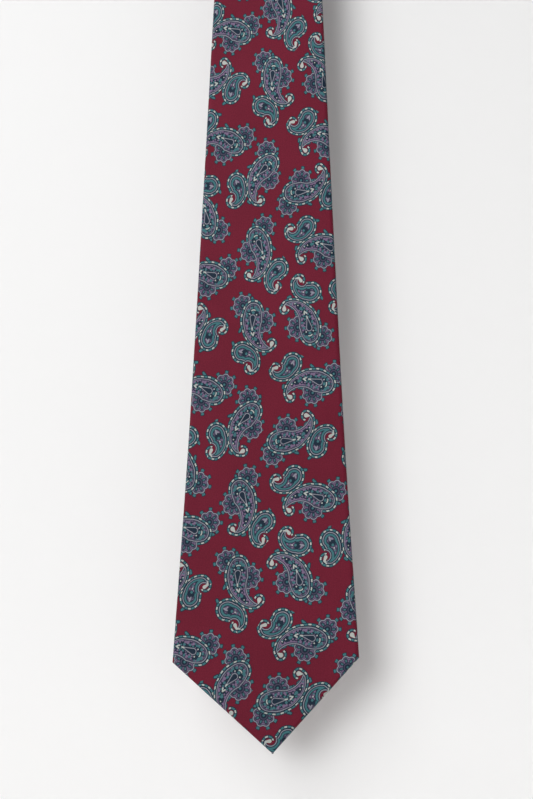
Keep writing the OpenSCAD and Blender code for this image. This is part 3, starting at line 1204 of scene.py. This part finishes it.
class Necktie:
    """The whole tie: sizes from the frame, then its sub-assemblies."""

    def __init__(self) -> None:
        """Reads the frame's sizes."""
        joints = {joint["name"]: joint for joint in frame["joints"]}
        front_low, front_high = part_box("front_blade_shell")
        tail_low, tail_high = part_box("tail_blade_shell")
        neck_low, neck_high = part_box("neck_gore_shell")
        self.front_seam = joints["front_swing"]["pos_m"][2] / MM
        self.tail_seam = joints["tail_swing"]["pos_m"][2] / MM
        self.lie = Lie(-joints["front_swing"]["pos_m"][1] / MM, -front_low.z / MM)
        neck_half = (neck_high.x - neck_low.x) / 2 / MM - 2
        self.neck_half = neck_half
        width = (front_high.x - front_low.x) / MM
        self.front = Blade(
            length=self.front_seam + self.lie.front_drop,
            width=width,
            tip_height=44.0,
            tip_shift=3.5,
            seam_half=neck_half + 2,
            rows=(
                (44.0, width / 2), (160.0, width / 2 - 6.6), (384.0, width / 2 - 16.1),
                (540.0, width / 2 - 22), (690.0, neck_half + 2),
            ),
            window_top=120.0,
            bend=172.0,
        )
        tail_width = (tail_high.x - tail_low.x) / MM
        self.tail = Blade(
            length=self.tail_seam - tail_low.z / MM,
            width=tail_width,
            tip_height=23.0,
            tip_shift=0.0,
            seam_half=neck_half + 0.5,
            rows=(
                (23.0, tail_width / 2), (220.0, tail_width / 2 - 2.5), (480.0, neck_half + 0.5),
            ),
            window_top=62.0,
            bend=142.0,
        )
        self.tail_end = self.lie.front_drop + self.lie.arch - tail_low.z / MM
        self.tail_start = self.tail_end - self.tail.length
        self.silk = PrintedSilkTwill().material()
        self.lining = TIPPING_LINING.material()
        self.wool = WOOL.material()
        self.satin = LABEL_SATIN.material()
        self.thread = TwistedThread().material()
        middle = self.lie.middle * MM
        self.front_bend = ((0, -middle, (self.front_seam - 22) * MM),
                           (0, -middle, (self.front_seam - self.front.bend + 2) * MM))
        self.tail_bend = ((0, middle, (self.tail_seam - 20) * MM),
                          (0, middle, (self.tail_seam - self.tail.bend + 2) * MM))

    def settle(self, obj: bpy.types.Object, material: bpy.types.Material,
               body: str, node: str) -> None:
        """Dresses a piece and ties it to its body, unless it lies on a blade's bend.

        Args:
            obj: the piece.
            material: its finish.
            body: the body it moves with; a piece on front_blade_bend or tail_blade_bend is left in
                place on no body.
            node: the CAD node it stands for.
        """
        obj.data.materials.clear()
        obj.data.materials.append(material)
        if body == "front_blade_bend":
            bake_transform(obj)
        elif body == "tail_blade_bend":
            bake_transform(obj)
        else:
            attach(obj, body)
        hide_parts(node)
        log.info("%s: %d faces on %s", obj.name, len(obj.data.polygons), body)

    # -- shells

    def shells(self) -> None:
        """Builds the three silk panels."""
        front, tail, lie = self.front, self.tail, self.lie
        panels = (
            (
                FoldedSilk(
                    "front_blade_silk", 0.0, front.length, front.half, front.middle,
                    front.window, front.heights(1.5, 3.5), 0.0, 1.0, (0.0, 0.0), lie,
                ),
                "front_blade_bend", "front_blade_shell", (0.186, 0.712),
            ),
            (
                FoldedSilk(
                    "neck_gore_silk", front.length, self.tail_start, self.neck_half_at,
                    lambda t: 0.0, lambda t: 0.05,
                    spread(front.length, lie.front_drop, 4.0)
                    + spread(lie.front_drop, lie.front_drop + lie.arch, 1.4)[1:]
                    + spread(lie.front_drop + lie.arch, self.tail_start, 4.0)[1:],
                    1.0, 1.0, (31.0, 17.0), lie,
                ),
                "neck", "neck_gore_shell", (0.086, 0.35),
            ),
            (
                FoldedSilk(
                    "tail_blade_silk", self.tail_start, self.tail_end,
                    lambda t: tail.half(self.tail_end - t),
                    lambda t: -tail.middle(self.tail_end - t),
                    lambda t: tail.window(self.tail_end - t),
                    sorted(self.tail_end - h for h in tail.heights(1.4, 3.8)),
                    1.0, 0.0, (-22.0, 40.0), lie, front_columns=14, flap_columns=8,
                ),
                "tail_blade_bend", "tail_blade_shell", (0.1, 0.5),
            ),
        )
        for panel, body, node, flat in panels:
            obj, area = panel.build()
            self.settle(obj, self.silk, body, node)
            log.info("%s: flat cut %.4f m2", panel.name, area)

    def neck_half_at(self, t: float) -> float:
        """Returns the neck's half width at t."""
        return eased(
            (
                (self.front.length, self.front.seam_half), (self.lie.front_drop, self.neck_half),
                (self.lie.front_drop + self.lie.arch, self.neck_half),
                (self.tail_start, self.tail.seam_half),
            ),
            t,
        )

    # -- inner layers

    def linings(self) -> None:
        """Builds the interlinings and the tippings."""
        front, tail, lie = self.front, self.tail, self.lie
        gap, seam_gap = 2.6, 2.5
        front_rows = [h for h in front.heights(4, 8) if 4 < h < front.length - seam_gap]
        tail_rows = sorted(
            self.tail_end - h for h in tail.heights(4, 8) if 4 < h < tail.length - seam_gap
        )
        layers = (
            (FlatLayer("front_blade_interlining", front_rows,
                       lambda t: front.half(t - 2) - gap, front.middle, -0.85, 1.25, lie),
             self.wool, "interlining_wool", "front_blade_bend", "front_interlining", (0.09, 0.69)),
            (FlatLayer("neck_gore_interlining",
                       spread(front.length + 22, self.tail_start - 22, 2.5),
                       lambda t: self.neck_half_at(t) - gap, lambda t: 0.0, -1.2, 1.2, lie),
             self.wool, "interlining_wool", "neck", "neck_interlining", (0.036, 0.3)),
            (FlatLayer("tail_blade_interlining", tail_rows,
                       lambda t: tail.half(self.tail_end - t - 2) - gap, lambda t: 0.0,
                       -0.85, 1.25, lie),
             self.wool, "interlining_wool", "tail_blade_bend", "tail_interlining", (0.045, 0.48)),
            (FlatLayer("front_blade_tipping", [h for h in spread(4.4, 150, 2.4)],
                       lambda t: front.half(t - 1.2) - 1.4, front.middle, -1.42, -1.12, lie, 0.25, 28),
             self.lining, "tipping_lining", "front_blade", "front_tipping", (0.09, 0.15)),
            (FlatLayer("tail_blade_tipping", sorted(self.tail_end - h for h in spread(4.4, 84, 2.4)),
                       lambda t: tail.half(self.tail_end - t - 1.2) - 1.4, lambda t: 0.0,
                       -1.42, -1.12, lie, 0.2, 20),
             self.lining, "tipping_lining", "tail_blade", "tail_tipping", (0.047, 0.084)),
        )
        for layer, material, slot, body, node, flat in layers:
            obj, area = layer.build()
            self.settle(obj, material, body, node)
            log.info("%s: flat cut %.4f m2", layer.name, area)

    # -- loop and labels

    def band(self, name: str, path: Sequence[Pair], middle_z: float, tall: float,
             thick: float) -> Grid:
        """Lofts a flat band with rounded edges along a path in the XY plane.

        Args:
            name: the piece's name.
            path: (x, y) points of the band's middle, in mm.
            middle_z: height of the band's middle line.
            tall: the band's width, along Z.
            thick: its thickness.

        Returns:
            The band's rows.
        """
        rows, flat, run = [], [], 0.0
        for k, (x, y) in enumerate(path):
            ahead, behind = path[min(k + 1, len(path) - 1)], path[max(k - 1, 0)]
            tangent = Vector((ahead[0] - behind[0], ahead[1] - behind[1], 0)).normalized()
            normal = Vector((-tangent.y, tangent.x, 0))
            if k:
                run += math.hypot(x - path[k - 1][0], y - path[k - 1][1])
            row, places = [], []
            steps = 22
            for i in range(steps):
                turn = 2 * math.pi * i / steps
                c, s = math.cos(turn), math.sin(turn)
                # a rounded rectangle: flat faces with soft long edges
                z = math.copysign(abs(c) ** 0.35, c) * tall / 2
                out = math.copysign(abs(s) ** 0.55, s) * thick / 2
                spot = Vector((x, y, middle_z + z)) + normal * out
                row.append(spot * MM)
                places.append((run, z + (tall if s < 0 else 0)))
            rows.append(row)
            flat.append(places)
        return Grid(rows, flat, ring=True)

    def loop_and_labels(self) -> None:
        """Builds the keeper loop and the two blank labels."""
        low, high = (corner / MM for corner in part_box("keeper_loop"))
        back = low.y + 0.5
        middle_z = (low.z + high.z) / 2
        rise = high.y - low.y - 1.0
        path = []
        for x in spread(-(high.x), high.x, 1.2):
            f = smooth(high.x - abs(x), 5.5, 15.0)
            path.append((x, back + rise * f + 0.1 * math.sin(x / 5.0) * f))
        grid = self.band("keeper_loop_band", path, middle_z, high.z - low.z, 0.95)
        grid.flat = [
            [(u + 40, v + 60) for u, v in row] for row in grid.flat
        ]
        loop = grid.mesh("keeper_loop_band")
        self.finish_band(loop)
        self.settle(loop, self.silk, "front_blade", "keeper_loop")

        low, high = (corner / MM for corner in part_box("makers_label"))
        back = (low.y + high.y) / 2
        path = [(x, back + 0.05 + 0.18 * math.cos(x / 9.0)) for x in spread(low.x, high.x, 1.2)]
        label = self.band("makers_label_ribbon", path, (low.z + high.z) / 2,
                          high.z - low.z, 0.42).mesh("makers_label_ribbon")
        self.finish_band(label)
        self.settle(label, self.satin, "front_blade", "makers_label")

        low, high = (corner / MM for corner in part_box("care_label"))
        rows, flat = [], []
        top, bottom = high.z, low.z
        for z in spread(bottom, top, 1.2):
            down = (top - z) / (top - bottom)
            bow = (low.y + high.y) / 2 + 1.6 * down**2
            row, places = [], []
            for i in range(20):
                turn = 2 * math.pi * i / 20
                c, s = math.cos(turn), math.sin(turn)
                x = math.copysign(abs(c) ** 0.3, c) * high.x
                y = bow + math.copysign(abs(s) ** 0.6, s) * 0.18
                y += 0.5 * down * (x / high.x) ** 2
                row.append(Vector((x, y, z)) * MM)
                places.append((x, z))
            rows.append(row)
            flat.append(places)
        care = Grid(rows, flat, ring=True).mesh("care_label_ribbon")
        self.finish_band(care)
        self.settle(care, self.satin, "care_label_flap", "care_label")

    def finish_band(self, obj: bpy.types.Object) -> None:
        """Turns a lofted band's faces outwards and smooths its shading."""
        select_only(obj)
        bpy.ops.object.mode_set(mode="EDIT")
        bpy.ops.mesh.select_all(action="SELECT")
        bpy.ops.mesh.normals_make_consistent(inside=False)
        bpy.ops.object.mode_set(mode="OBJECT")
        bpy.ops.object.shade_smooth_by_angle(angle=math.radians(50))

    def inward(self, t: float) -> Vector:
        """Returns the direction out of the tie's seam side at t."""
        return self.lie.place(t, 0, -3) - self.lie.place(t, 0, -2)

    def stitches(self) -> None:
        """Builds every group of visible stitches on its body."""
        back_out = Vector((0, 1, 0))
        n = SEWING.back
        sets = []

        def slip(t0: float, t1: float) -> list:
            """Returns slanted stitches across the back seam from t0 to t1."""
            found = []
            for t in spread(t0, t1, SEWING.pitch):
                a = self.lie.place(t - SEWING.slip_reach, -SEWING.slip_lean, n)
                b = self.lie.place(t + SEWING.slip_reach, SEWING.slip_lean, n)
                found.append((a, b, self.inward(t)))
            return found

        gaps = ((132, 164), (194, 226), (254, self.front.length - 8))
        front_slips = [s for a, b in gaps for s in slip(a, b)]
        sets.append(("front_slip_stitches", front_slips, "front_blade_bend", "front_slip_stitch"))
        rest, over = SEWING.seam_rest, self.lie.front_drop + self.lie.arch
        neck_slips = slip(self.front.length + rest, self.lie.front_drop - rest)
        neck_slips += slip(over + rest, self.tail_start - rest)
        sets.append(("neck_slip_stitches", neck_slips, "neck", "neck_slip_stitch"))
        tail_slips = slip(self.tail_start + 8, self.tail_end - 78)
        sets.append(("tail_slip_stitches", tail_slips, "tail_blade_bend", "tail_slip_stitch"))

        def tack(t: float, half: float) -> list:
            """Returns a dense bar of crossing stitches over the seam at t."""
            found = []
            for k in range(-4, 5):
                lean = SEWING.tack_lean if k % 2 else -SEWING.tack_lean
                a = self.lie.place(t + k * SEWING.tack_pitch - lean, -half, n)
                b = self.lie.place(t + k * SEWING.tack_pitch + lean, half, n)
                found.append((a, b, self.inward(t)))
            return found

        sets.append(("front_bar_tack_thread", tack(128, 3.5), "front_blade", "front_bar_tack"))
        sets.append(("tail_bar_tack_thread", tack(self.tail_end - 70, 2.5), "tail_blade",
                     "tail_bar_tack"))

        def hem(blade: Blade, to_t: Callable[[float], float]) -> list:
            """Returns small stitches that hold a tipping along the slanted edges."""
            found = []
            low, corner = SEWING.hem_low, blade.width / 2 - SEWING.hem_in
            count = round(blade.width / SEWING.hem_pitch)
            for side in (-1, 1):
                for k in range(1, count):
                    f0, f1 = (k - SEWING.hem_share) / count, (k + SEWING.hem_share) / count
                    ends = []
                    for f in (f0, f1):
                        h = low + (blade.tip_height - low) * f
                        x = blade.tip_shift * (1 - f) + side * corner * f
                        ends.append(self.lie.place(to_t(h), x, SEWING.hem_back))
                    found.append((*ends, self.inward(to_t(low))))
            return found

        sets.append(("front_tipping_hem_thread", hem(self.front, lambda h: h), "front_blade",
                     "front_tipping_hem_stitches"))
        sets.append(("tail_tipping_hem_thread", hem(self.tail, lambda h: self.tail_end - h),
                     "tail_blade", "tail_tipping_hem_stitches"))

        def gore(t: float, half: float, lean: float) -> list:
            """Returns the fine seam stitches beside a gore seam on the back."""
            found = []
            for x in spread(-half, half, 2.0):
                a = self.lie.place(t + lean * x - 0.5, x - 0.5, n)
                b = self.lie.place(t + lean * x + 0.5, x + 0.5, n)
                found.append((a, b, self.inward(t)))
            return found

        sets.append(("front_gore_seam_thread", gore(self.front.length - 3.2, 15.5, 1.0),
                     "front_blade_bend", "front_gore_seam"))
        sets.append(("tail_gore_seam_thread", gore(self.tail_start + 3.2, 13.5, 1.0),
                     "tail_blade_bend", "tail_gore_seam"))

        def label_rows(node: str, y: float, lean: float, count: int) -> list:
            """Returns short upright stitches down both ends of a sewn piece."""
            low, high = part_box(node)
            found = []
            for x in (low.x + 0.35 * MM, high.x - 0.35 * MM):
                for k in range(count):
                    z = low.z + (high.z - low.z) * (k + 0.5) / count
                    a = Vector((x - lean * MM, y * MM, z - 0.6 * MM))
                    b = Vector((x + lean * MM, y * MM, z + 0.6 * MM))
                    found.append((a, b, back_out))
            return found

        sets.append(("keeper_loop_end_stitches",
                     label_rows("keeper_loop_stitches", -6.78, 0.0, 5), "front_blade",
                     "keeper_loop_stitches"))
        sets.append(("makers_label_end_stitches",
                     label_rows("makers_label_stitches", -7.25, 0.3, 8), "front_blade",
                     "makers_label_stitches"))
        low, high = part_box("care_label_stitches")
        care = [
            (Vector((x - 0.0007, -0.00765, low.z + 0.0002)),
             Vector((x + 0.0007, -0.00765, high.z - 0.0002)), back_out)
            for x in (MM * v for v in spread(low.x / MM + 0.7, high.x / MM - 0.7, 2.2))
        ]
        sets.append(("care_label_top_stitches", care, "front_blade", "care_label_stitches"))
        for name, places, body, node in sets:
            obj = StitchSet(name, places=tuple(places)).build()
            self.settle(obj, self.thread, body, node)

    def build(self) -> None:
        """Builds the sub-assemblies in order."""
        self.shells()
        self.linings()
        self.loop_and_labels()
        self.stitches()


# ---------------------------------------------------------------- studio


@dataclass
class Studio:
    """A pale wall just behind the tie, a pale floor below it, soft light and the camera."""

    wall_y: float = 24.0      # mm behind the rail's axis
    floor_z: float = -935.0
    eye: tuple = (45.8, -740.5, -845.0)   # mm, where the camera stands
    pitch: float = 12.12      # degrees that the camera looks up
    yaw: float = 3.59         # degrees that it looks to the left
    roll: float = 0.22
    focal: float = 67.6       # mm on a 36 mm frame along the long side

    def camera(self) -> None:
        """Adds the camera, level with the front point and looking up at the blade."""
        data = bpy.data.cameras.new("camera")
        data.sensor_width, data.lens = 36.0, self.focal
        data.clip_start, data.clip_end = 0.05, 60.0
        obj = bpy.data.objects.new("camera", data)
        bpy.context.scene.collection.objects.link(obj)
        obj.location = Vector(self.eye) * MM
        turn = (
            Matrix.Rotation(math.radians(self.yaw), 3, "Z")
            @ Matrix.Rotation(math.pi / 2 + math.radians(self.pitch), 3, "X")
            @ Matrix.Rotation(math.radians(self.roll), 3, "Z")
        )
        obj.rotation_euler = turn.to_euler()
        bpy.context.scene.camera = obj

    def plain(self, name: str, colour: str, glow: float) -> bpy.types.Material:
        """Returns a plain backdrop material.

        Args:
            name: the material's name.
            colour: its sRGB colour.
            glow: light that it gives off by itself.
        """
        made, shader = new_material(name)
        shader.inputs["Base Color"].default_value = srgb(colour)
        shader.inputs["Roughness"].default_value = 0.9
        shader.inputs["Specular IOR Level"].default_value = 0.0
        shader.inputs["Emission Color"].default_value = srgb("#FFFFFF")
        shader.inputs["Emission Strength"].default_value = glow
        return made

    def backdrop(self) -> None:
        """Adds the wall, which shows only from its front, the floor and a far pale dome."""
        bpy.ops.mesh.primitive_plane_add(
            size=3.4, location=(0, self.wall_y * MM, -0.5), rotation=(math.pi / 2, 0, 0)
        )
        wall = bpy.context.active_object
        wall.name = "wall"
        paint = self.plain("wall_paint", "#EEEEEE", 0.07)
        tree = paint.node_tree
        shader = tree.nodes["Principled BSDF"]
        # the paint deepens upwards, where the lamp is nearer, so the wall looks even
        height = add(tree, "SeparateXYZ", {0: add(tree, "NewGeometry")}, 2)
        fade = add(tree, "MapRange", {0: height, 1: -0.85, 2: -0.40, 3: 0.0, 4: 1.0})
        shade = add(tree, "Mix", {0: fade, 6: srgb("#EFEFEF"), 7: srgb("#DBDBDB")}, 2,
                    data_type="RGBA")
        tree.links.new(shade, shader.inputs["Base Color"])
        behind = add(tree, "NewGeometry", out=6)
        clear = add(tree, "BsdfTransparent")
        shown = add(tree, "MixShader", {0: behind, 1: shader.outputs[0], 2: clear})
        tree.links.new(shown, tree.nodes["Material Output"].inputs["Surface"])
        wall.data.materials.append(paint)
        wall.visible_shadow = False
        bpy.ops.mesh.primitive_plane_add(size=8, location=(0, 0, self.floor_z * MM))
        floor = bpy.context.active_object
        floor.name = "floor"
        floor.data.materials.append(self.plain("floor_paint", "#DEDCDA", 0.0))
        bpy.ops.mesh.primitive_uv_sphere_add(segments=32, ring_count=16, radius=14)
        dome = bpy.context.active_object
        dome.name = "dome"
        dome.data.materials.append(self.plain("dome_paint", "#000000", 0.86))
        dome.visible_diffuse = dome.visible_glossy = dome.visible_shadow = False
        dome.visible_transmission = False

    def lights(self) -> None:
        """Adds an even ambience, a broad window on either side and a small lamp high up."""
        scene = bpy.context.scene
        world = bpy.data.worlds.new("room")
        world.use_nodes = True
        air = world.node_tree.nodes["Background"]
        air.inputs["Color"].default_value = srgb("#FFFFFF")
        air.inputs["Strength"].default_value = 0.28
        scene.world = world
        # the second window stands behind the wall, which casts no shadow
        for name, aim, energy in (
            ("window", Vector((0.445, 1.0, -0.16)), 1.75),
            ("back_window", Vector((0.5, -1.0, -0.8)), 1.3),
        ):
            sun = bpy.data.lights.new(name, "SUN")
            sun.energy, sun.angle = energy, math.radians(34)
            obj = bpy.data.objects.new(name, sun)
            obj.rotation_euler = aim.to_track_quat("-Z", "Y").to_euler()
            scene.collection.objects.link(obj)
        lamp = bpy.data.lights.new("upper_lamp", "AREA")
        lamp.energy, lamp.size = 1.4, 0.35
        obj = bpy.data.objects.new("upper_lamp", lamp)
        obj.location = (-0.30, -0.52, -0.25)
        obj.rotation_euler = Vector((0.30, 0.51, -0.22)).to_track_quat("-Z", "Y").to_euler()
        scene.collection.objects.link(obj)
        scene.view_settings.view_transform = "Standard"
        scene.view_settings.look = "None"

    def build(self) -> None:
        """Adds everything."""
        self.camera()
        self.backdrop()
        self.lights()


def main() -> None:
    """Builds the studio and the tie."""
    Studio().build()
    Necktie().build()


if __name__ == "__main__":
    main()
